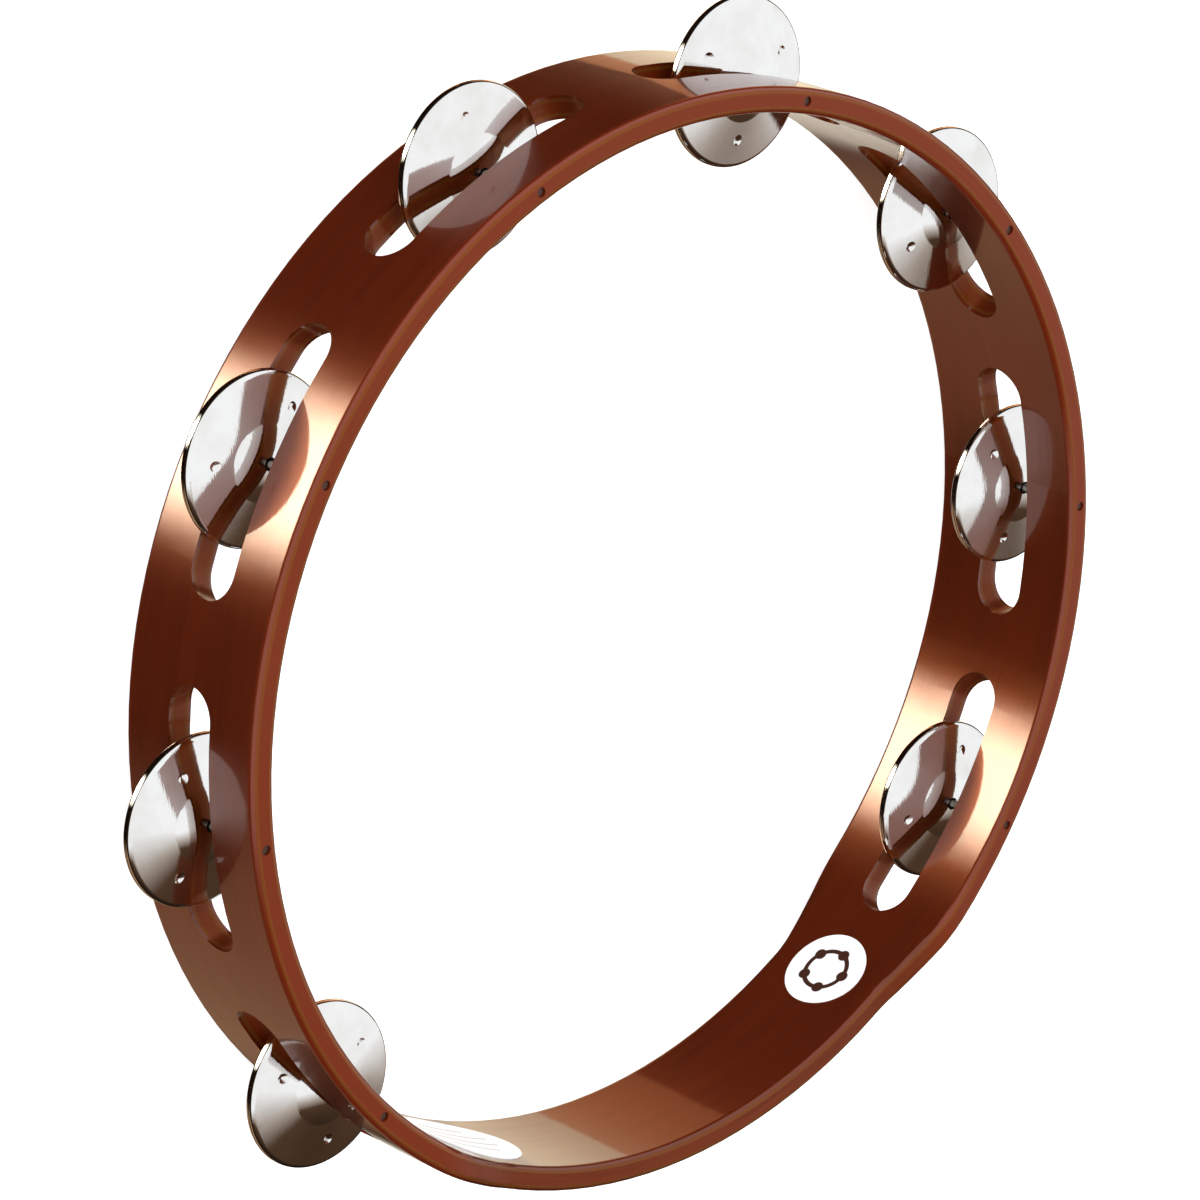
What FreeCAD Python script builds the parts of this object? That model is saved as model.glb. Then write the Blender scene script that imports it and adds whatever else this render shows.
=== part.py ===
"""Headless wooden tambourine: a bent five-ply hoop with eight pairs of jingles on steel pins.

The hoop lies flat with its axis along +Z, and the plain grip section is at -Y. The origin is under
the middle of the whole instrument, on the plane of the lower rim. The jingles reach further out at
+Y than the hoop does at -Y, so the hoop's own axis stands a little on the -Y side of the origin.
All lengths are millimetres, all angles degrees.
"""
import FreeCAD
import Part
import Sketcher
import math
import os

Vector = FreeCAD.Vector
Rotation = FreeCAD.Rotation
Placement = FreeCAD.Placement

SIZES = {
    "hoop_outer": 127.0,        # outer radius of the hoop, a 10 inch instrument
    "axis_shift": 5.03,         # distance of the hoop's axis from the origin, towards -Y
    "hoop_wall": 5.9,           # total thickness of the five glued plies
    "hoop_width": 42.0,         # height of the hoop when it lies flat
    "rim_round": 1.4,           # rounding of the four rim edges
    "face_ply": 0.75,           # each outermost ply
    "cross_ply": 0.75,          # each crossband ply
    "grip_depth": 4.4,          # how far each rim is cut back at the grip
    "grip_flat": 59.0,          # half length of the straight part of the grip, along X
    "grip_ramp": 19.0,          # length of the ramp at each end of the grip, along X
    "grip_blend": 30.0,         # radius that eases the corners of the ramps
    "slot_length": 62.0,
    "slot_height": 13.5,
    "station_count": 8.0,
    "station_step": 36.65,      # angle between neighbouring jingle stations
    "pin_circle": 124.05,       # radius at which the pins stand, the middle of the core ply
    "pin_radius": 1.1,
    "pin_length": 41.0,
    "jingle_radius": 19.3,
    "jingle_sheet": 0.6,        # thickness of the pressed sheet
    "jingle_depth": 1.3,        # height of the turned edge above its lip
    "jingle_bend": 1.2,         # outer radius of the turned edge
    "jingle_hole": 1.5,
    "flange_rise": 3.19,        # height of the dome's foot above the lip, at the top of the cone
    "dome_radius": 8.5,
    "dome_height": 1.5,
    "dome_blend": 2.0,
    "dimple_circle": 13.3,
    "dimple_radius": 2.0,
    "dimple_tip": 0.3,
    "dimple_depth": 0.4,
    "dimple_tool": 0.85,        # length of the pointed punch
    "dimple_count": 3.0,
    "rest_gap": 0.3,            # clearance left between pieces that only rest on each other
    "label_sheet": 0.2,
    "label_round_radius": 10.3,
    "label_oval_half_length": 17.0,
    "label_oval_half_width": 13.0,
    "label_round_angle": 297.9,
    "label_oval_angle": 240.2,
}

# Angle by which each jingle happens to be turned on its pin, station 1 to station 8.
FRONT_TURN = (62.0, 7.0, 85.0, 20.0, 100.0, 48.0, 112.0, 30.0)
BACK_TURN = (15.0, 95.0, 50.0, 75.0, 5.0, 110.0, 40.0, 66.0)

doc = FreeCAD.newDocument("tambourine")


# ---------------------------------------------------------------- the sheet and formulas

def make_sheet():
    """The spreadsheet that holds every driving dimension, one per row."""
    sheet = doc.addObject("Spreadsheet::Sheet", "Sizes")
    for row, (alias, size) in enumerate(SIZES.items(), start=1):
        sheet.set(f"A{row}", alias)
        sheet.set(f"B{row}", str(size))
        sheet.setAlias(f"B{row}", alias)
    doc.recompute()
    return sheet


def amount(text):
    """Value of a sum such as 'hoop_outer - hoop_wall', read from the same sizes as the sheet."""
    total = 0.0
    sign = 1.0
    for word in text.split():
        if word in ("+", "-"):
            sign = 1.0 if word == "+" else -1.0
        else:
            total += sign * (SIZES[word] if word in SIZES else float(word))
            sign = 1.0
    return total


def formula(text):
    """The same sum written as a FreeCAD expression on the sheet."""
    words = [f"Sizes.{word}" if word in SIZES else word for word in text.split()]
    return " ".join(words)


def bind(thing, name, text):
    """Drives one property of an object from the sheet."""
    thing.setExpression(name, formula(text))


# ---------------------------------------------------------------- sketches and features

def plane_of(body, role):
    """The origin plane or axis of a body that has this role."""
    return next(item for item in body.Origin.OriginFeatures if item.Role == role)


def new_sketch(body, name, role, offset=None):
    """A sketch of the body, on one of its own origin planes."""
    sketch = body.newObject("Sketcher::SketchObject", name)
    sketch.AttachmentSupport = [(plane_of(body, role), "")]
    sketch.MapMode = "FlatFace"
    if offset is not None:
        sketch.AttachmentOffset = offset
    return sketch


def place_point(sketch, edge, x_text, y_text):
    """Fixes the start point of an edge at sheet-driven coordinates."""
    for kind, text in (("DistanceX", x_text), ("DistanceY", y_text)):
        number = sketch.addConstraint(Sketcher.Constraint(kind, -1, 1, edge, 1, amount(text)))
        sketch.setExpression(f"Constraints[{number}]", formula(text))


def draw_outline(sketch, corners):
    """Closed outline through the corners (x, y), every corner placed by the sheet."""
    points = [Vector(amount(x), amount(y), 0) for x, y in corners]
    edges = []
    for start, end in zip(points, points[1:] + points[:1]):
        edges.append(sketch.addGeometry(Part.LineSegment(start, end), False))
    for edge, follower in zip(edges, edges[1:] + edges[:1]):
        sketch.addConstraint(Sketcher.Constraint("Coincident", edge, 2, follower, 1))
    for edge, (x, y) in zip(edges, corners):
        place_point(sketch, edge, x, y)
    return edges


def draw_circle(sketch, x_text, radius_text):
    """Circle with its centre on the sketch's X axis."""
    centre = Vector(amount(x_text), 0, 0)
    edge = sketch.addGeometry(Part.Circle(centre, Vector(0, 0, 1), amount(radius_text)), False)
    if x_text == "0":
        sketch.addConstraint(Sketcher.Constraint("Coincident", edge, 3, -1, 1))
    else:
        sketch.addConstraint(Sketcher.Constraint("PointOnObject", edge, 3, -1))
        number = sketch.addConstraint(
            Sketcher.Constraint("DistanceX", -1, 1, edge, 3, amount(x_text)))
        sketch.setExpression(f"Constraints[{number}]", formula(x_text))
    number = sketch.addConstraint(Sketcher.Constraint("Radius", edge, amount(radius_text)))
    sketch.setExpression(f"Constraints[{number}]", formula(radius_text))
    return edge


def draw_slot(sketch):
    """Long slot with round ends, centred on the sketch's Y axis at half the hoop's width."""
    half = SIZES["slot_length"] / 2 - SIZES["slot_height"] / 2
    radius = SIZES["slot_height"] / 2
    middle = SIZES["hoop_width"] / 2
    up = Vector(0, 0, 1)
    top = sketch.addGeometry(Part.LineSegment(
        Vector(half, middle + radius, 0), Vector(-half, middle + radius, 0)), False)
    left = sketch.addGeometry(Part.ArcOfCircle(Part.Circle(
        Vector(-half, middle, 0), up, radius), math.pi / 2, math.pi * 3 / 2), False)
    bottom = sketch.addGeometry(Part.LineSegment(
        Vector(-half, middle - radius, 0), Vector(half, middle - radius, 0)), False)
    right = sketch.addGeometry(Part.ArcOfCircle(Part.Circle(
        Vector(half, middle, 0), up, radius), -math.pi / 2, math.pi / 2), False)
    for edge, follower in ((top, left), (left, bottom), (bottom, right), (right, top)):
        sketch.addConstraint(Sketcher.Constraint("Tangent", edge, 2, follower, 1))
    sketch.addConstraint(Sketcher.Constraint("Horizontal", top))
    sketch.addConstraint(Sketcher.Constraint("Equal", left, right))
    driven = (
        (Sketcher.Constraint("DistanceX", left, 3, -1, 1, half),
         "Sizes.slot_length / 2 - Sizes.slot_height / 2"),
        (Sketcher.Constraint("DistanceX", -1, 1, right, 3, half),
         "Sizes.slot_length / 2 - Sizes.slot_height / 2"),
        (Sketcher.Constraint("DistanceY", -1, 1, left, 3, middle), "Sizes.hoop_width / 2"),
        (Sketcher.Constraint("Radius", left, radius), "Sizes.slot_height / 2"),
    )
    for constraint, text in driven:
        number = sketch.addConstraint(constraint)
        sketch.setExpression(f"Constraints[{number}]", text)


def revolve(body, name, sketch):
    """Full turn of a sketch on the XZ plane about the body's Z axis."""
    turned = body.newObject("PartDesign::Revolution", name)
    turned.Profile = sketch
    turned.ReferenceAxis = (sketch, ["V_Axis"])
    turned.Angle = 360.0
    sketch.Visibility = False
    doc.recompute()
    return turned


def polar(body, name, originals, angle, count):
    """Repeats features about the body's Z axis and makes the pattern the body's tip."""
    pattern = body.newObject("PartDesign::PolarPattern", name)
    pattern.Originals = originals
    pattern.Axis = (plane_of(body, "Z_Axis"), [""])
    pattern.setExpression("Angle", angle)
    pattern.setExpression("Occurrences", count)
    body.Tip = pattern
    doc.recompute()
    return pattern


def fillet(body, name, base, edges, size):
    """Rounds the named edges of the body's latest feature."""
    rounded = body.newObject("PartDesign::Fillet", name)
    rounded.Base = (base, edges)
    bind(rounded, "Radius", size)
    body.Tip = rounded
    doc.recompute()
    return rounded


def edges_where(shape, test):
    """Names of the edges of a shape whose middle point and box pass a test."""
    names = []
    for number, edge in enumerate(shape.Edges, start=1):
        middle = edge.valueAt((edge.FirstParameter + edge.LastParameter) / 2)
        if test(middle, edge.BoundBox):
            names.append(f"Edge{number}")
    return names


# ---------------------------------------------------------------- the hoop

def first_station():
    """Angle of station 1; the stations are centred on +Y, opposite the grip."""
    return 90.0 - SIZES["station_step"] * (SIZES["station_count"] - 1) / 2


def station_angle(number):
    return first_station() + SIZES["station_step"] * (number - 1)


def grip_outline(sketch, rim, towards):
    """Outline of what is cut from one rim: a long flat with a straight ramp at each end."""
    outside = f"{rim} {towards} 5"
    floor = f"{rim} {'-' if towards == '+' else '+'} grip_depth"
    draw_outline(sketch, [
        ("- grip_flat - grip_ramp", rim),
        ("- grip_flat", floor),
        ("grip_flat", floor),
        ("grip_flat + grip_ramp", rim),
        ("grip_flat + grip_ramp", outside),
        ("- grip_flat - grip_ramp", outside),
    ])


def settle(feature):
    """Moves a finished feature from the hoop's axis to its place in the part's frame."""
    feature.Placement = Placement(Vector(0, -SIZES["axis_shift"], 0), Rotation())
    feature.setExpression("Placement.Base.y", "-Sizes.axis_shift")


def build_hoop_blank():
    """The whole hoop in one piece, before it is divided into its plies."""
    body = doc.addObject("PartDesign::Body", "HoopBlank")
    section = new_sketch(body, "HoopSection", "XZ_Plane")
    draw_outline(section, [
        ("hoop_outer - hoop_wall", "0"),
        ("hoop_outer", "0"),
        ("hoop_outer", "hoop_width"),
        ("hoop_outer - hoop_wall", "hoop_width"),
    ])
    ring = revolve(body, "HoopRing", section)

    recess = ring
    for name, rim, towards in (("GripTop", "hoop_width", "+"), ("GripBottom", "0", "-")):
        profile = new_sketch(body, name + "Profile", "XZ_Plane")
        grip_outline(profile, rim, towards)
        recess = body.newObject("PartDesign::Pocket", name)
        recess.Profile = profile
        recess.Reversed = True
        bind(recess, "Length", "hoop_outer + 5")
        profile.Visibility = False
        doc.recompute()

    inner = SIZES["hoop_outer"] - SIZES["hoop_wall"]

    def on_a_rim(middle, box):
        radius = math.hypot(middle.x, middle.y)
        curved = min(abs(radius - inner), abs(radius - SIZES["hoop_outer"])) < 0.05
        return curved and box.ZLength < 12

    def across_the_wall(middle, box):
        return abs(math.hypot(middle.x, middle.y) - (inner + SIZES["hoop_outer"]) / 2) < 1.0

    corners = edges_where(recess.Shape, across_the_wall)
    eased = fillet(body, "GripBlend", recess, corners, "grip_blend")
    rounded = fillet(body, "RimRounding", eased, edges_where(eased.Shape, on_a_rim), "rim_round")
    volume = rounded.Shape.Volume

    turn = Placement(Vector(), Rotation(Vector(0, 1, 0), first_station() - 90.0))
    slot_profile = new_sketch(body, "SlotProfile", "XZ_Plane", turn)
    draw_slot(slot_profile)
    slot = body.newObject("PartDesign::Pocket", "Slot")
    slot.Profile = slot_profile
    bind(slot, "Length", "hoop_outer + 5")
    slot_profile.Visibility = False
    doc.recompute()

    turn = Placement(Vector(), Rotation(Vector(0, 0, 1), first_station()))
    hole_profile = new_sketch(body, "PinHoleProfile", "XY_Plane", turn)
    draw_circle(hole_profile, "pin_circle", "pin_radius")
    hole = body.newObject("PartDesign::Pocket", "PinHole")
    hole.Profile = hole_profile
    hole.Reversed = True
    bind(hole, "Length", "hoop_width")
    hole_profile.Visibility = False
    doc.recompute()

    pattern = polar(body, "Stations", [slot, hole],
                    "Sizes.station_step * (Sizes.station_count - 1)", "Sizes.station_count")
    assert pattern.Shape.Volume < volume - 8 * 4000
    return body


def build_band(name, inner, outer):
    """Plain ring between two radii, as wide as the hoop."""
    body = doc.addObject("PartDesign::Body", name)
    rings = new_sketch(body, name + "Rings", "XY_Plane")
    draw_circle(rings, "0", inner)
    draw_circle(rings, "0", outer)
    pad = body.newObject("PartDesign::Pad", name + "Pad")
    pad.Profile = rings
    bind(pad, "Length", "hoop_width")
    rings.Visibility = False
    doc.recompute()
    return body


def build_plies(blank):
    """The five glued plies: the blank divided at four radii."""
    inner = "hoop_outer - hoop_wall"
    layers = (
        ("hoop_ply_outer", "hoop_outer - face_ply", "hoop_outer"),
        ("hoop_ply_cross_outer", "hoop_outer - face_ply - cross_ply", "hoop_outer - face_ply"),
        ("hoop_ply_core", inner + " + face_ply + cross_ply",
         "hoop_outer - face_ply - cross_ply"),
        ("hoop_ply_cross_inner", inner + " + face_ply", inner + " + face_ply + cross_ply"),
        ("hoop_ply_inner", inner, inner + " + face_ply"),
    )
    plies = []
    for name, low, high in layers:
        ply = doc.addObject("Part::Common", name)
        ply.Base = blank
        ply.Tool = build_band(name + "_band", low, high)
        ply.Label = name
        settle(ply)
        plies.append(ply)
    doc.recompute()
    return plies


# ---------------------------------------------------------------- pins and jingles

def on_station(number, height):
    """The point of a station's pin axis at a height."""
    angle = math.radians(station_angle(number))
    radius = SIZES["pin_circle"]
    return Vector(radius * math.cos(angle), radius * math.sin(angle) - SIZES["axis_shift"], height)


def build_pin(number):
    pin = doc.addObject("Part::Cylinder", f"pin_{number}")
    bind(pin, "Radius", "pin_radius")
    bind(pin, "Height", "pin_length")
    ends = (SIZES["hoop_width"] - SIZES["pin_length"]) / 2
    pin.Placement = Placement(on_station(number, ends), Rotation())
    pin.Label = f"pin_{number}"
    return pin


def dome_section():
    """Centre height and radii of the dome's two parallel spherical faces."""
    base = SIZES["dome_radius"]
    rise = SIZES["dome_height"]
    outer = (base ** 2 + rise ** 2) / (2 * rise)
    centre = SIZES["flange_rise"] + rise - outer
    return centre, outer, outer - SIZES["jingle_sheet"]


def flange_slope():
    """Slope of the conical flange, from the dome's foot to where it meets the turned edge."""
    across = SIZES["jingle_radius"] - SIZES["jingle_bend"] - SIZES["dome_radius"]
    down = SIZES["flange_rise"] - (SIZES["jingle_depth"] - SIZES["jingle_bend"])
    reach = math.hypot(across, down)
    return math.atan2(down, across) - math.asin(SIZES["jingle_bend"] / reach)


def draw_jingle(sketch):
    """Section of the pressed sheet from the hole to the lip, dome upwards, lip at height 0."""
    centre, outer, inner = dome_section()
    hole = SIZES["jingle_hole"]
    foot = SIZES["dome_radius"]
    rise = SIZES["flange_rise"]
    bend = SIZES["jingle_bend"]
    rim = SIZES["jingle_radius"]
    sheet = SIZES["jingle_sheet"]
    bend_height = SIZES["jingle_depth"] - bend
    slope = flange_slope()

    def bend_end(radius):
        """Where a turned-edge arc of this radius meets the sloping flange."""
        return (rim - bend + radius * math.sin(slope), bend_height + radius * math.cos(slope))

    out_x, out_y = bend_end(bend)
    in_x, in_y = bend_end(bend - sheet)
    # The underside of the flange meets the dome's inner sphere where this quadratic is zero.
    half = -in_x * math.cos(slope) + (in_y - centre) * math.sin(slope)
    rest = in_x ** 2 + (in_y - centre) ** 2 - inner ** 2
    run = -half - math.sqrt(half ** 2 - rest)
    inner_x, inner_y = in_x - run * math.cos(slope), in_y + run * math.sin(slope)

    def arc(x, y, radius, start, end):
        circle = Part.Circle(Vector(x, y, 0), Vector(0, 0, 1), radius)
        return Part.ArcOfCircle(circle, start, end)

    def line(x1, y1, x2, y2):
        return Part.LineSegment(Vector(x1, y1, 0), Vector(x2, y2, 0))

    top = centre + math.sqrt(outer ** 2 - hole ** 2)
    bottom = centre + math.sqrt(inner ** 2 - hole ** 2)
    turned = math.pi / 2 - slope
    pieces = [
        arc(0, centre, outer, math.atan2(rise - centre, foot), math.atan2(top - centre, hole)),
        line(foot, rise, out_x, out_y),
        arc(rim - bend, bend_height, bend, 0, turned),
        line(rim, bend_height, rim, 0),
        line(rim, 0, rim - sheet, 0),
        line(rim - sheet, 0, rim - sheet, bend_height),
        arc(rim - bend, bend_height, bend - sheet, 0, turned),
        line(in_x, in_y, inner_x, inner_y),
        arc(0, centre, inner, math.atan2(inner_y - centre, inner_x),
            math.atan2(bottom - centre, hole)),
        line(hole, bottom, hole, top),
    ]
    edges = [sketch.addGeometry(piece, False) for piece in pieces]
    corners = ((0, 1, 1, 1), (3, 2, 4, 1), (4, 2, 5, 1), (7, 2, 8, 1), (8, 2, 9, 1), (9, 2, 0, 2))
    for first, end, second, start in corners:
        sketch.addConstraint(
            Sketcher.Constraint("Coincident", edges[first], end, edges[second], start))
    for first, end, second, start in ((1, 2, 2, 2), (2, 1, 3, 1), (5, 2, 6, 1), (6, 2, 7, 1)):
        sketch.addConstraint(
            Sketcher.Constraint("Tangent", edges[first], end, edges[second], start))
    sketch.addConstraint(Sketcher.Constraint("PointOnObject", edges[0], 3, -2))
    sketch.addConstraint(Sketcher.Constraint("Coincident", edges[0], 3, edges[8], 3))
    sketch.addConstraint(Sketcher.Constraint("Parallel", edges[1], edges[7]))
    sketch.addConstraint(Sketcher.Constraint("Horizontal", edges[4]))
    for upright in (edges[3], edges[5], edges[9]):
        sketch.addConstraint(Sketcher.Constraint("Vertical", upright))
    place_point(sketch, edges[4], "jingle_radius", "0")
    place_point(sketch, edges[1], "dome_radius", "flange_rise")
    driven = (
        (Sketcher.Constraint("DistanceX", -1, 1, edges[4], 2, rim - sheet),
         "Sizes.jingle_radius - Sizes.jingle_sheet"),
        (Sketcher.Constraint("DistanceY", -1, 1, edges[2], 3, bend_height),
         "Sizes.jingle_depth - Sizes.jingle_bend"),
        (Sketcher.Constraint("DistanceY", -1, 1, edges[6], 3, bend_height),
         "Sizes.jingle_depth - Sizes.jingle_bend"),
        (Sketcher.Constraint("DistanceX", -1, 1, edges[9], 1, hole), "Sizes.jingle_hole"),
        (Sketcher.Constraint("Radius", edges[2], bend), "Sizes.jingle_bend"),
        (Sketcher.Constraint("Radius", edges[6], bend - sheet),
         "Sizes.jingle_bend - Sizes.jingle_sheet"),
    )
    for constraint, text in driven:
        number = sketch.addConstraint(constraint)
        sketch.setExpression(f"Constraints[{number}]", text)
    for dome, text in ((edges[0], ""), (edges[8], " - Sizes.jingle_sheet")):
        radius = outer if text == "" else inner
        number = sketch.addConstraint(Sketcher.Constraint("Radius", dome, radius))
        sketch.setExpression(
            f"Constraints[{number}]",
            "(Sizes.dome_radius ^ 2 + Sizes.dome_height ^ 2) / (2 * Sizes.dome_height)" + text)


def build_jingle(name, placement):
    """One pressed jingle: central dome, conical flange with three dimples and a turned edge."""
    body = doc.addObject("PartDesign::Body", name)
    section = new_sketch(body, name + "_section", "XZ_Plane")
    draw_jingle(section)
    disc = revolve(body, name + "_disc", section)

    def dome_foot(middle, box):
        near = abs(math.hypot(middle.x, middle.y) - SIZES["dome_radius"]) < 0.6
        return near and box.ZLength < 0.01

    edges = edges_where(disc.Shape, dome_foot)
    smooth = fillet(body, name + "_blend", disc, edges, "dome_blend")

    dimple = body.newObject("PartDesign::SubtractiveCone", name + "_dimple")
    dimple.AttachmentSupport = [(plane_of(body, "XY_Plane"), "")]
    dimple.MapMode = "FlatFace"
    fall = (SIZES["dimple_circle"] - SIZES["dome_radius"]) * math.tan(flange_slope())
    lift = SIZES["flange_rise"] - fall - SIZES["dimple_depth"]
    dimple.AttachmentOffset = Placement(Vector(SIZES["dimple_circle"], 0, lift), Rotation())
    bind(dimple, "Radius1", "dimple_tip")
    bind(dimple, "Radius2", "dimple_radius")
    bind(dimple, "Height", "dimple_tool")
    doc.recompute()
    pattern = polar(body, name + "_dimples", [dimple], "360", "Sizes.dimple_count")
    assert pattern.Shape.Volume < smooth.Shape.Volume
    body.Placement = placement
    body.Label = name
    return body


def build_jingle_pair(number):
    """Two jingles with their lips together, resting on the lower wall of the slot."""
    height = SIZES["flange_rise"] + SIZES["dome_height"]
    slot_floor = (SIZES["hoop_width"] - SIZES["slot_height"]) / 2
    back_lip = slot_floor + SIZES["rest_gap"] + height
    front_lip = back_lip + SIZES["rest_gap"]
    upright = Rotation(Vector(0, 0, 1), FRONT_TURN[number - 1])
    flipped = Rotation(Vector(0, 0, 1), BACK_TURN[number - 1]) * Rotation(Vector(1, 0, 0), 180)
    front = build_jingle(f"jingle_{number}_front", Placement(on_station(number, front_lip), upright))
    back = build_jingle(f"jingle_{number}_back", Placement(on_station(number, back_lip), flipped))
    return [front, back]


# ---------------------------------------------------------------- labels

def build_label(name, band, half_length, half_width, angle):
    """Thin paper label that follows the inner face of the hoop at one angle."""
    outline = doc.addObject("Part::Ellipse", name + "_outline")
    bind(outline, "MajorRadius", half_length)
    bind(outline, "MinorRadius", half_width)
    upright = Rotation(Vector(0, 0, 1), SIZES[angle] + 90) * Rotation(Vector(1, 0, 0), 90)
    outline.Placement = Placement(Vector(0, 0, SIZES["hoop_width"] / 2), upright)
    punch = doc.addObject("Part::Extrusion", name + "_punch")
    punch.Base = outline
    punch.DirMode = "Custom"
    turn = math.radians(SIZES[angle])
    punch.Dir = Vector(math.cos(turn), math.sin(turn), 0)
    punch.Solid = True
    bind(punch, "LengthFwd", "hoop_outer")
    label = doc.addObject("Part::Common", name)
    label.Base = punch
    label.Tool = band
    label.Label = name
    settle(label)
    doc.recompute()
    return label


def build_labels():
    inner = "hoop_outer - hoop_wall"
    band = build_band("LabelBand", inner + " - label_sheet", inner)
    return [
        build_label("label_round", band, "label_round_radius + 0.001", "label_round_radius",
                    "label_round_angle"),
        build_label("label_oval", band, "label_oval_half_length", "label_oval_half_width",
                    "label_oval_angle"),
    ]


# ---------------------------------------------------------------- build, check and write

def check(parts):
    """Stops the run if any object failed or any piece isn't one valid solid."""
    doc.recompute()
    for item in doc.Objects:
        if "Invalid" in item.State or "Error" in item.State:
            raise RuntimeError(f"{item.Name} is {item.State}")
    for part in parts:
        shape = part.Shape
        if shape.isNull() or not shape.isValid():
            raise RuntimeError(f"{part.Label} has no valid shape")
        if len(shape.Solids) != 1:
            raise RuntimeError(f"{part.Label} has {len(shape.Solids)} solids")


def main():
    make_sheet()
    parts = build_plies(build_hoop_blank())
    for number in range(1, int(SIZES["station_count"]) + 1):
        parts.append(build_pin(number))
        parts.extend(build_jingle_pair(number))
    parts.extend(build_labels())
    check(parts)
    os.makedirs("parts", exist_ok=True)
    for part in parts:
        part.Shape.exportStep(os.path.join("parts", part.Label + ".step"))
        print(part.Label, round(part.Shape.Volume, 2))


main()
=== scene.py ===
"""Looks of the headless wooden tambourine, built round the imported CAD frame."""

import math

import bpy
from mathutils import Matrix, Vector


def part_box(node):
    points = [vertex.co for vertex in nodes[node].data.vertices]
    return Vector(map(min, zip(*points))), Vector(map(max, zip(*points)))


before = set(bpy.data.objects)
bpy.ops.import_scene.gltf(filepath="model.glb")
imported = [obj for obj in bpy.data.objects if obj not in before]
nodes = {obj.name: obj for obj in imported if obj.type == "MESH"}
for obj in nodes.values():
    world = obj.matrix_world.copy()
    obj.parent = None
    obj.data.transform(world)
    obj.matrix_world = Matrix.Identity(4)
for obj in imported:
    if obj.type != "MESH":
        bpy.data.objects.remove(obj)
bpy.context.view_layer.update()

# ---------------------------------------------------------------- hoop facts, metres
HOOP_WIDTH = 0.042
HOOP_OUTER_RADIUS = 0.127
STATIONS = 8
ROUND_LABEL_ANGLE, OVAL_LABEL_ANGLE = math.radians(297.9), math.radians(240.2)

# Painted highlight: the colour lightens between these distances from the hoop's mid-plane, over the
# rounded rim corners and the rim ends.
RIM_HIGHLIGHT_START, RIM_HIGHLIGHT_END = HOOP_WIDTH / 2 - 0.0022, HOOP_WIDTH / 2 - 0.0004
RIM_HIGHLIGHT_LIFT = 0.75
# A pin is stained beyond this distance from the mid-plane, where its ends lie in the rims.
PIN_STAIN_FROM = 0.0195

# Plain marks on the labels
EMBLEM_RADIUS, EMBLEM_LINE, EMBLEM_DOT, EMBLEM_DOTS = 0.0054, 0.0006, 0.0015, 5
RULE_HALVES = (0.0085, 0.0115, 0.0115, 0.0075)
RULE_TOP, RULE_PITCH, RULE_LINE, RULE_INK = 0.0060, 0.0040, 0.00045, 0.6
PRINT_EDGE = 0.00008

scene = bpy.context.scene
hoop_low, hoop_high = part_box("hoop_ply_outer")
AXIS_X, AXIS_Y = (hoop_low.x + hoop_high.x) / 2, (hoop_low.y + hoop_high.y) / 2


# ---------------------------------------------------------------- node helpers
def new_material(name):
    """An empty node material with its Principled shader wired to the output."""
    material = bpy.data.materials.new(name)
    material.use_nodes = True
    tree = material.node_tree
    tree.nodes.clear()
    output = tree.nodes.new("ShaderNodeOutputMaterial")
    shader = tree.nodes.new("ShaderNodeBsdfPrincipled")
    tree.links.new(shader.outputs["BSDF"], output.inputs["Surface"])
    return material, tree, shader


def link(tree, source, target):
    """Wire one socket to another."""
    tree.links.new(source, target)


def math_node(tree, operation, a, b=0.0):
    """One Math node. Each input is a socket or a number."""
    node = tree.nodes.new("ShaderNodeMath")
    node.operation = operation
    for socket, value in zip(node.inputs, (a, b)):
        if isinstance(value, (int, float)):
            socket.default_value = value
        else:
            link(tree, value, socket)
    return node.outputs[0]


def ramp(tree, factor, stops):
    """A colour ramp from (position, colour) stops."""
    node = tree.nodes.new("ShaderNodeValToRGB")
    elements = node.color_ramp.elements
    while len(elements) > 1:
        elements.remove(elements[-1])
    elements[0].position, elements[0].color = stops[0][0], (*stops[0][1], 1.0)
    for position, colour in stops[1:]:
        elements.new(position).color = (*colour, 1.0)
    link(tree, factor, node.inputs["Fac"])
    return node.outputs["Color"]


def grey(value):
    """A grey as a colour."""
    return (value, value, value)


def map_range(tree, value, start, end, low=0.0, high=1.0, shape="LINEAR"):
    """Turn start to end into low to high, held flat outside them."""
    node = tree.nodes.new("ShaderNodeMapRange")
    node.interpolation_type = shape
    node.inputs["From Min"].default_value = start
    node.inputs["From Max"].default_value = end
    node.inputs["To Min"].default_value = low
    node.inputs["To Max"].default_value = high
    link(tree, value, node.inputs["Value"])
    return node.outputs[0]


def mix(tree, factor, a, b):
    """Mix two colours. The factor and the colours are sockets or values."""
    node = tree.nodes.new("ShaderNodeMix")
    node.data_type = "RGBA"
    sockets = (node.inputs[0], node.inputs[6], node.inputs[7])
    for socket, value in zip(sockets, (factor, a, b)):
        if isinstance(value, (int, float)):
            socket.default_value = value
        elif isinstance(value, tuple):
            socket.default_value = (*value, 1.0)
        else:
            link(tree, value, socket)
    return node.outputs[2]


def noise(tree, vector, scale, detail=3.0, rough=0.5, w=None, distort=0.0):
    """Fractal noise from 0 to 1, in four dimensions when w is given."""
    node = tree.nodes.new("ShaderNodeTexNoise")
    if w is not None:
        node.noise_dimensions = "4D"
        link(tree, w, node.inputs["W"])
    node.inputs["Scale"].default_value = scale
    node.inputs["Detail"].default_value = detail
    node.inputs["Roughness"].default_value = rough
    node.inputs["Distortion"].default_value = distort
    link(tree, vector, node.inputs["Vector"])
    return node.outputs["Fac"]


def stretched(tree, vector, scale):
    """The coordinates times a scale for each axis."""
    node = tree.nodes.new("ShaderNodeMapping")
    node.inputs["Scale"].default_value = scale
    link(tree, vector, node.inputs["Vector"])
    return node.outputs["Vector"]


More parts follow.
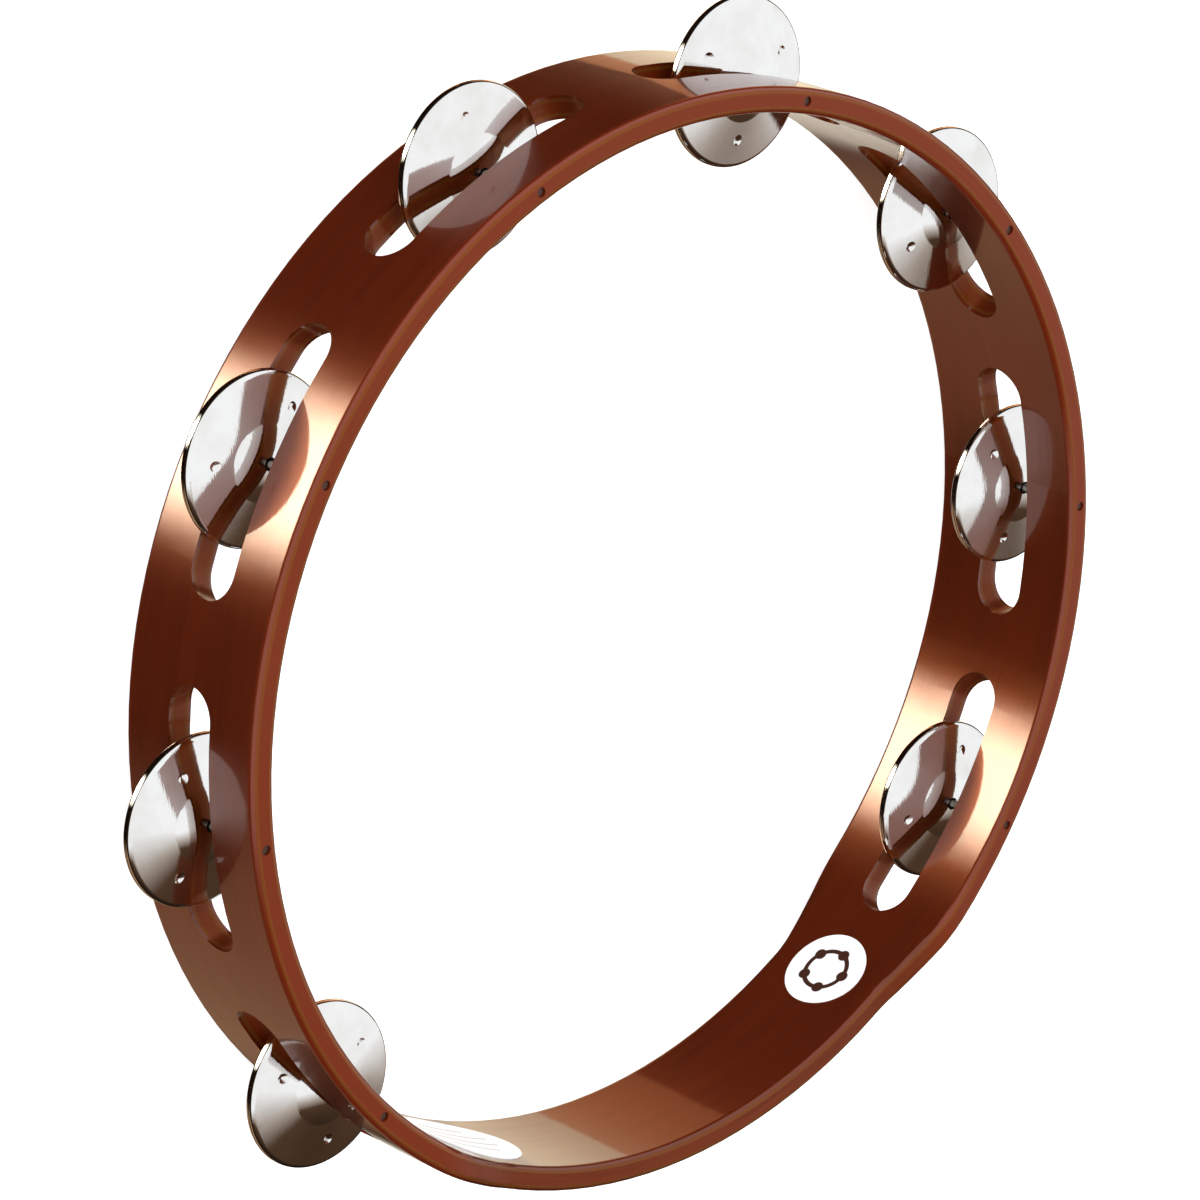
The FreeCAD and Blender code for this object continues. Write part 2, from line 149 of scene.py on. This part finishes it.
def bump(tree, height, distance, strength):
    """A normal bent by a height map whose full height is distance, in metres."""
    node = tree.nodes.new("ShaderNodeBump")
    node.inputs["Distance"].default_value = distance
    node.inputs["Strength"].default_value = strength
    link(tree, height, node.inputs["Height"])
    return node.outputs["Normal"]


def hypotenuse(tree, x, y):
    """The length of a vector in a plane."""
    squares = math_node(tree, "MULTIPLY", x, x), math_node(tree, "MULTIPLY", y, y)
    return math_node(tree, "SQRT", math_node(tree, "ADD", *squares))


def place(tree):
    """Coordinates about the hoop's axis, the distance from it, and the height."""
    shift = tree.nodes.new("ShaderNodeMapping")
    shift.inputs["Location"].default_value = (-AXIS_X, -AXIS_Y, 0.0)
    link(tree, tree.nodes.new("ShaderNodeTexCoord").outputs["Object"], shift.inputs["Vector"])
    coords = shift.outputs["Vector"]
    split = tree.nodes.new("ShaderNodeSeparateXYZ")
    link(tree, coords, split.inputs[0])
    x, y, z = split.outputs
    return coords, hypotenuse(tree, x, y), z


def off_middle(tree, height):
    """The height above the hoop's mid-plane, below zero under it."""
    return math_node(tree, "SUBTRACT", height, HOOP_WIDTH / 2)


# ---------------------------------------------------------------- materials
def wood(name, dark, light, rim_highlight_colour, coat):
    """Stained veneer under clear lacquer: the grain runs round the hoop.

    dark and light are the stain in and between the pores, rim_highlight_colour is the painted
    highlight at the rim corners and rim ends, and coat is how much of the lacquer's gloss shows.
    """
    material, tree, shader = new_material(name)
    coords, radius, height = place(tree)
    across = math_node(tree, "MULTIPLY", radius, 900.0)
    fine = noise(tree, stretched(tree, coords, (45, 45, 2600)), 1.0, 4.0, 0.62, across)
    broad = noise(tree, stretched(tree, coords, (14, 14, 260)), 1.0, 3.0, 0.55, across, 0.4)
    cloud = noise(tree, coords, 26.0, 2.0, 0.5)
    slow = math_node(
        tree, "ADD", math_node(tree, "MULTIPLY", broad, 0.35), math_node(tree, "MULTIPLY", cloud, 0.20)
    )
    grain = math_node(tree, "ADD", math_node(tree, "MULTIPLY", fine, 0.45), slow)
    between = tuple((a + b) / 2 for a, b in zip(dark, light))
    stain = ramp(tree, grain, [(0.30, dark), (0.47, between), (0.66, light)])
    rim_distance = math_node(tree, "ABSOLUTE", off_middle(tree, height))
    # Painted highlight: the colour is lightened towards both rims, over the rounded corners and the
    # rim ends.
    corner = map_range(tree, rim_distance, RIM_HIGHLIGHT_START, RIM_HIGHLIGHT_END, 0.0, RIM_HIGHLIGHT_LIFT, "SMOOTHSTEP")
    link(tree, mix(tree, corner, stain, rim_highlight_colour), shader.inputs["Base Color"])
    link(tree, ramp(tree, grain, [(0.3, grey(0.36)), (0.7, grey(0.26))]), shader.inputs["Roughness"])
    peel = noise(tree, coords, 210.0, 2.0, 0.5)
    relief = math_node(tree, "ADD", math_node(tree, "MULTIPLY", fine, 0.25), peel)
    link(tree, bump(tree, grain, 0.00010, 0.5), shader.inputs["Normal"])
    link(tree, bump(tree, relief, 0.00004, 0.35), shader.inputs["Coat Normal"])
    shader.inputs["Specular IOR Level"].default_value = 0.9
    shader.inputs["Specular Tint"].default_value = (1.0, 0.28, 0.08, 1.0)
    shader.inputs["Coat Weight"].default_value = coat
    shader.inputs["Coat Roughness"].default_value = 0.045
    shader.inputs["Coat IOR"].default_value = 1.5
    return material


def metal(name, bright, dull, roughness, scratch):
    """Plated steel with fine polish marks and a slightly uneven surface."""
    material, tree, shader = new_material(name)
    coords = tree.nodes.new("ShaderNodeTexCoord").outputs["Object"]
    patch = noise(tree, coords, 120.0, 3.0, 0.55)
    marks = noise(tree, stretched(tree, coords, (2600, 300, 900)), 1.0, 2.0, 0.6)
    colour = ramp(tree, patch, [(0.30, dull), (0.62, bright)])
    link(tree, colour, shader.inputs["Base Color"])
    level = math_node(
        tree, "ADD", math_node(tree, "MULTIPLY", patch, 0.6), math_node(tree, "MULTIPLY", marks, 0.4)
    )
    smooth, rough = grey(roughness * 0.6), grey(roughness * 1.5)
    link(tree, ramp(tree, level, [(0.32, smooth), (0.68, rough)]), shader.inputs["Roughness"])
    link(tree, bump(tree, marks, scratch, 0.4), shader.inputs["Normal"])
    shader.inputs["Metallic"].default_value = 1.0
    return material


wood_face = wood(
    "lacquered_veneer", (0.040, 0.0032, 0.0003), (0.088, 0.0095, 0.0010), (0.125, 0.013, 0.003), 0.9
)
wood_cross = wood(
    "lacquered_crossband", (0.060, 0.0150, 0.0020), (0.110, 0.0330, 0.0055), (0.12, 0.030, 0.005), 0.08
)
wood_core = wood(
    "lacquered_core", (0.052, 0.0050, 0.0006), (0.105, 0.0140, 0.0020), (0.11, 0.010, 0.001), 0.08
)
chrome = metal("jingle_chrome", (0.93, 0.92, 0.90), (0.84, 0.82, 0.79), 0.055, 0.00002)


def pin_metal(name):
    """Dark steel wire whose two ends, flush in the rims, are covered by the stain."""
    material, tree, shader = new_material(name)
    coords, _, height = place(tree)
    patch = noise(tree, coords, 700.0, 3.0, 0.6)
    bare = ramp(tree, patch, [(0.35, (0.10, 0.085, 0.07)), (0.65, (0.34, 0.30, 0.26))])
    rim_distance = math_node(tree, "ABSOLUTE", off_middle(tree, height))
    stained = math_node(tree, "GREATER_THAN", rim_distance, PIN_STAIN_FROM)
    link(tree, mix(tree, stained, bare, (0.035, 0.008, 0.002)), shader.inputs["Base Color"])
    link(tree, math_node(tree, "SUBTRACT", 1.0, stained), shader.inputs["Metallic"])
    link(tree, ramp(tree, patch, [(0.3, grey(0.22)), (0.7, grey(0.42))]), shader.inputs["Roughness"])
    link(tree, bump(tree, patch, 0.00003, 0.4), shader.inputs["Normal"])
    return material


steel = pin_metal("pin_steel")


def along_label(tree, angle):
    """Distances from a label's middle, round the hoop and along its axis, and the coordinates."""
    coords, _, height = place(tree)
    dot = tree.nodes.new("ShaderNodeVectorMath")
    dot.operation = "DOT_PRODUCT"
    link(tree, coords, dot.inputs[0])
    dot.inputs[1].default_value = (-math.sin(angle), math.cos(angle), 0.0)
    return dot.outputs["Value"], off_middle(tree, height), coords


def paper(name, angle, mark, ink):
    """White label paper. mark(tree, across, along) says where its plain print is, from 0 to 1."""
    material, tree, shader = new_material(name)
    across, along, coords = along_label(tree, angle)
    fibre = noise(tree, coords, 900.0, 4.0, 0.6)
    white = ramp(tree, fibre, [(0.3, grey(0.80)), (0.7, grey(0.90))])
    link(tree, mix(tree, mark(tree, across, along), white, ink), shader.inputs["Base Color"])
    link(tree, ramp(tree, fibre, [(0.3, grey(0.38)), (0.7, grey(0.50))]), shader.inputs["Roughness"])
    link(tree, bump(tree, fibre, 0.00003, 0.4), shader.inputs["Normal"])
    return material


def near(tree, value, centre, half):
    """1 where value is within half of centre, else 0, with a thin soft edge."""
    gap = math_node(tree, "ABSOLUTE", math_node(tree, "SUBTRACT", value, centre))
    return map_range(tree, gap, half - PRINT_EDGE, half + PRINT_EDGE, 1.0, 0.0)


def distance(tree, x, y, x0, y0):
    """The distance from the point x0, y0."""
    return hypotenuse(tree, math_node(tree, "SUBTRACT", x, x0), math_node(tree, "SUBTRACT", y, y0))


def hoop_emblem(tree, x, y):
    """A plain ring with five dots on it: a generic picture of a hoop with jingles."""
    shape = near(tree, distance(tree, x, y, 0.0, 0.0), EMBLEM_RADIUS, EMBLEM_LINE)
    for step in range(EMBLEM_DOTS):
        turn = math.radians(90 + 360 / EMBLEM_DOTS * step)
        dot = distance(tree, x, y, EMBLEM_RADIUS * math.cos(turn), EMBLEM_RADIUS * math.sin(turn))
        shape = math_node(tree, "MAXIMUM", shape, near(tree, dot, 0.0, EMBLEM_DOT))
    return shape


def ruled_lines(tree, x, y):
    """Four short grey rules, in place of printed words."""
    shape = 0.0
    for row, half in enumerate(RULE_HALVES):
        line = near(tree, y, RULE_TOP - RULE_PITCH * row, RULE_LINE)
        line = math_node(tree, "MULTIPLY", line, near(tree, x, 0.0, half))
        shape = math_node(tree, "MAXIMUM", shape, line)
    return math_node(tree, "MULTIPLY", shape, RULE_INK)


round_paper = paper("label_round_paper", ROUND_LABEL_ANGLE, hoop_emblem, (0.045, 0.010, 0.003))
oval_paper = paper("label_oval_paper", OVAL_LABEL_ANGLE, ruled_lines, (0.22, 0.20, 0.19))


def dress(node, material):
    """Give a CAD node its one material."""
    mesh = nodes[node].data
    mesh.materials.clear()
    mesh.materials.append(material)


dress("hoop_ply_outer", wood_face)
dress("hoop_ply_inner", wood_face)
dress("hoop_ply_cross_outer", wood_cross)
dress("hoop_ply_cross_inner", wood_cross)
dress("hoop_ply_core", wood_core)
for station in range(1, STATIONS + 1):
    dress(f"pin_{station}", steel)
    dress(f"jingle_{station}_front", chrome)
    dress(f"jingle_{station}_back", chrome)
dress("label_round", round_paper)
dress("label_oval", oval_paper)

# ---------------------------------------------------------------- camera
VIEW_AZIMUTH = math.radians(147.245)
VIEW_POLAR = math.radians(46.706)
VIEW_ROLL = math.radians(111.065)
VIEW_DISTANCE = 1.24175
LENS_MM, SENSOR_MM = 166.92, 36.0
VIEW_CENTRE = Vector((AXIS_X, AXIS_Y, HOOP_WIDTH / 2))
OFFSET_RIGHT, OFFSET_UP = 0.007327, 0.006282

toward = Vector(
    (
        math.sin(VIEW_POLAR) * math.cos(VIEW_AZIMUTH),
        math.sin(VIEW_POLAR) * math.sin(VIEW_AZIMUTH),
        math.cos(VIEW_POLAR),
    )
)
side = Vector((-math.sin(VIEW_AZIMUTH), math.cos(VIEW_AZIMUTH), 0.0))
rise = toward.cross(side)
cam_right = math.cos(VIEW_ROLL) * side + math.sin(VIEW_ROLL) * rise
cam_up = -math.sin(VIEW_ROLL) * side + math.cos(VIEW_ROLL) * rise
cam_at = VIEW_CENTRE + VIEW_DISTANCE * toward - OFFSET_RIGHT * cam_right + OFFSET_UP * cam_up

camera_data = bpy.data.cameras.new("camera")
camera_data.sensor_width = SENSOR_MM
camera_data.lens = LENS_MM
camera_data.clip_start = 0.05
camera_data.clip_end = 20.0
camera = bpy.data.objects.new("camera", camera_data)
camera_turn = Matrix((cam_right, cam_up, toward)).transposed().to_4x4()
camera.matrix_world = Matrix.Translation(cam_at) @ camera_turn
scene.collection.objects.link(camera)
scene.camera = camera


# ---------------------------------------------------------------- floor
def add_mesh(name, vertices, faces, material):
    """A mesh object of the stage, made from its points and faces."""
    mesh = bpy.data.meshes.new(name)
    mesh.from_pydata(vertices, [], faces)
    mesh.materials.append(material)
    obj = bpy.data.objects.new(name, mesh)
    scene.collection.objects.link(obj)
    return obj


def floor_material():
    """White seamless paper, partly lit from within so that it stays as pale as the studio's."""
    material, tree, shader = new_material("floor_paper")
    coords = tree.nodes.new("ShaderNodeTexCoord").outputs["Object"]
    fibre = noise(tree, coords, 60.0, 3.0, 0.5)
    link(tree, ramp(tree, fibre, [(0.3, grey(0.58)), (0.7, grey(0.60))]), shader.inputs["Base Color"])
    shader.inputs["Roughness"].default_value = 0.9
    shader.inputs["Specular IOR Level"].default_value = 0.0
    shader.inputs["Emission Color"].default_value = (1.0, 1.0, 1.0, 1.0)
    shader.inputs["Emission Strength"].default_value = 0.80
    return material


FLOOR_HALF = 12.0
floor_corners = [(FLOOR_HALF * x, FLOOR_HALF * y, 0) for x, y in ((-1, -1), (1, -1), (1, 1), (-1, 1))]
floor = add_mesh("floor", floor_corners, [(0, 1, 2, 3)], floor_material())
floor.visible_glossy = False


# ---------------------------------------------------------------- studio light
def pointing(azimuth, elevation):
    """The unit vector towards two angles in degrees. Azimuth 0 is the camera's side."""
    bearing, climb = math.radians(azimuth) + VIEW_AZIMUTH, math.radians(elevation)
    return Vector(
        (math.cos(climb) * math.cos(bearing), math.cos(climb) * math.sin(bearing), math.sin(climb))
    )


def glow_material(name, colour, strength, softness):
    """Emission that is even in the middle of a panel and fades to nothing at its edge."""
    material = bpy.data.materials.new(name)
    material.use_nodes = True
    tree = material.node_tree
    tree.nodes.clear()
    output = tree.nodes.new("ShaderNodeOutputMaterial")
    emission = tree.nodes.new("ShaderNodeEmission")
    emission.inputs["Color"].default_value = (*colour, 1.0)
    emission.inputs["Strength"].default_value = strength
    clear = tree.nodes.new("ShaderNodeBsdfTransparent")
    blend = tree.nodes.new("ShaderNodeMixShader")
    coords = tree.nodes.new("ShaderNodeTexCoord").outputs["Object"]
    length = tree.nodes.new("ShaderNodeVectorMath")
    length.operation = "LENGTH"
    link(tree, coords, length.inputs[0])
    fade = map_range(tree, length.outputs["Value"], 1.0 - softness, 1.0, 1.0, 0.0, "SMOOTHERSTEP")
    link(tree, fade, blend.inputs["Fac"])
    link(tree, clear.outputs[0], blend.inputs[1])
    link(tree, emission.outputs[0], blend.inputs[2])
    link(tree, blend.outputs[0], output.inputs["Surface"])
    return material


PANEL_SIDES = 48


def panel(name, azimuth, elevation, wide, tall, colour, strength, softness, away=2.5, aim=VIEW_CENTRE):
    """A round-edged soft panel seen only in reflections, away metres from the point it aims at.

    azimuth and elevation say where it stands, and wide and tall are half of what it spans, all in
    degrees. softness is the part of its radius over which it fades out.
    """
    direction = pointing(azimuth, elevation)
    turns = [2 * math.pi * side / PANEL_SIDES for side in range(PANEL_SIDES)]
    ring = [(math.cos(turn), math.sin(turn), 0.0) for turn in turns]
    fan = [(0, side + 1, (side + 1) % PANEL_SIDES + 1) for side in range(PANEL_SIDES)]
    obj = add_mesh(name, [(0, 0, 0), *ring], fan, glow_material(name, colour, strength, softness))
    bearing = math.radians(azimuth) + VIEW_AZIMUTH
    level = Vector((-math.sin(bearing), math.cos(bearing), 0.0))
    facing = Matrix((level, direction.cross(level), direction)).transposed().to_4x4()
    half_width, half_height = (away * math.tan(math.radians(angle)) for angle in (wide, tall))
    size = Matrix.Diagonal((half_width, half_height, 1.0, 1.0))
    obj.matrix_world = Matrix.Translation(aim + away * direction) @ facing @ size
    obj.visible_camera = False
    obj.visible_diffuse = False
    obj.visible_shadow = False


# Seen from the camera, the hoop's upright walls mirror what stands at about this elevation.
MIRRORED = -43
panel("key_low", -4, MIRRORED, 16.5, 30, (1.0, 0.88, 0.66), 25.0, 0.85)
panel("back_low", 184, MIRRORED, 24, 26, (1.0, 0.90, 0.74), 0.9, 0.5)
panel("cream_low", 217, MIRRORED, 17, 26, (1.0, 0.84, 0.58), 1.35, 0.5)
panel("amber_low", 238, MIRRORED, 14, 26, (1.0, 0.40, 0.17), 0.9, 0.08)
# A black flag close under the outer wall opposite the grip keeps the amber panel out of that wall.
FLAG_ANGLE = math.radians(305.2) + VIEW_AZIMUTH
flag_aim = Vector(
    (
        AXIS_X + HOOP_OUTER_RADIUS * math.cos(FLAG_ANGLE),
        AXIS_Y + HOOP_OUTER_RADIUS * math.sin(FLAG_ANGLE),
        HOOP_WIDTH / 2,
    )
)
panel("flag_low", 244, -45, 10.6, 9, (0.0, 0.0, 0.0), 0.0, 0.06, 0.3, flag_aim)
panel("fill_low", 105, MIRRORED, 42, 26, (1.0, 0.60, 0.34), 0.42, 0.7)

LAMP_AWAY = 1.6


def area(name, azimuth, elevation, size, watts):
    """A large soft lamp over the object that doesn't show in reflections."""
    direction = pointing(azimuth, elevation)
    data = bpy.data.lights.new(name, "AREA")
    data.shape = "DISK"
    data.size = size
    data.energy = watts
    obj = bpy.data.objects.new(name, data)
    facing = direction.to_track_quat("Z", "Y").to_matrix().to_4x4()
    obj.matrix_world = Matrix.Translation(LAMP_AWAY * direction) @ facing
    obj.visible_glossy = False
    scene.collection.objects.link(obj)


area("soft_top", 30, 75, 2.2, 16.0)
area("soft_side", -60, 35, 1.4, 12.0)
area("soft_back", 150, 30, 1.4, 10.0)


def studio_world():
    """A pale room above the hoop, brown towards the grip's side, and near black below it."""
    world = bpy.data.worlds.new("studio")
    world.use_nodes = True
    tree = world.node_tree
    background = tree.nodes["Background"]
    direction = tree.nodes.new("ShaderNodeTexCoord").outputs["Generated"]
    split = tree.nodes.new("ShaderNodeSeparateXYZ")
    link(tree, direction, split.inputs[0])
    above = map_range(tree, split.outputs["Z"], -0.05, 0.15, shape="SMOOTHSTEP")
    # From the grip's side, where Y is -1, to the pale one
    shades = [
        (0.10, (0.020, 0.012, 0.008)),
        (0.38, (0.075, 0.040, 0.022)),
        (0.48, (0.42, 0.36, 0.32)),
        (0.62, (0.96, 0.98, 1.0)),
    ]
    shade = ramp(tree, math_node(tree, "ADD", split.outputs["Y"], 1.0), shades)
    link(tree, mix(tree, above, (0.014, 0.007, 0.004), shade), background.inputs["Color"])
    background.inputs["Strength"].default_value = 1.0
    return world


scene.world = studio_world()
scene.view_settings.view_transform = "Standard"
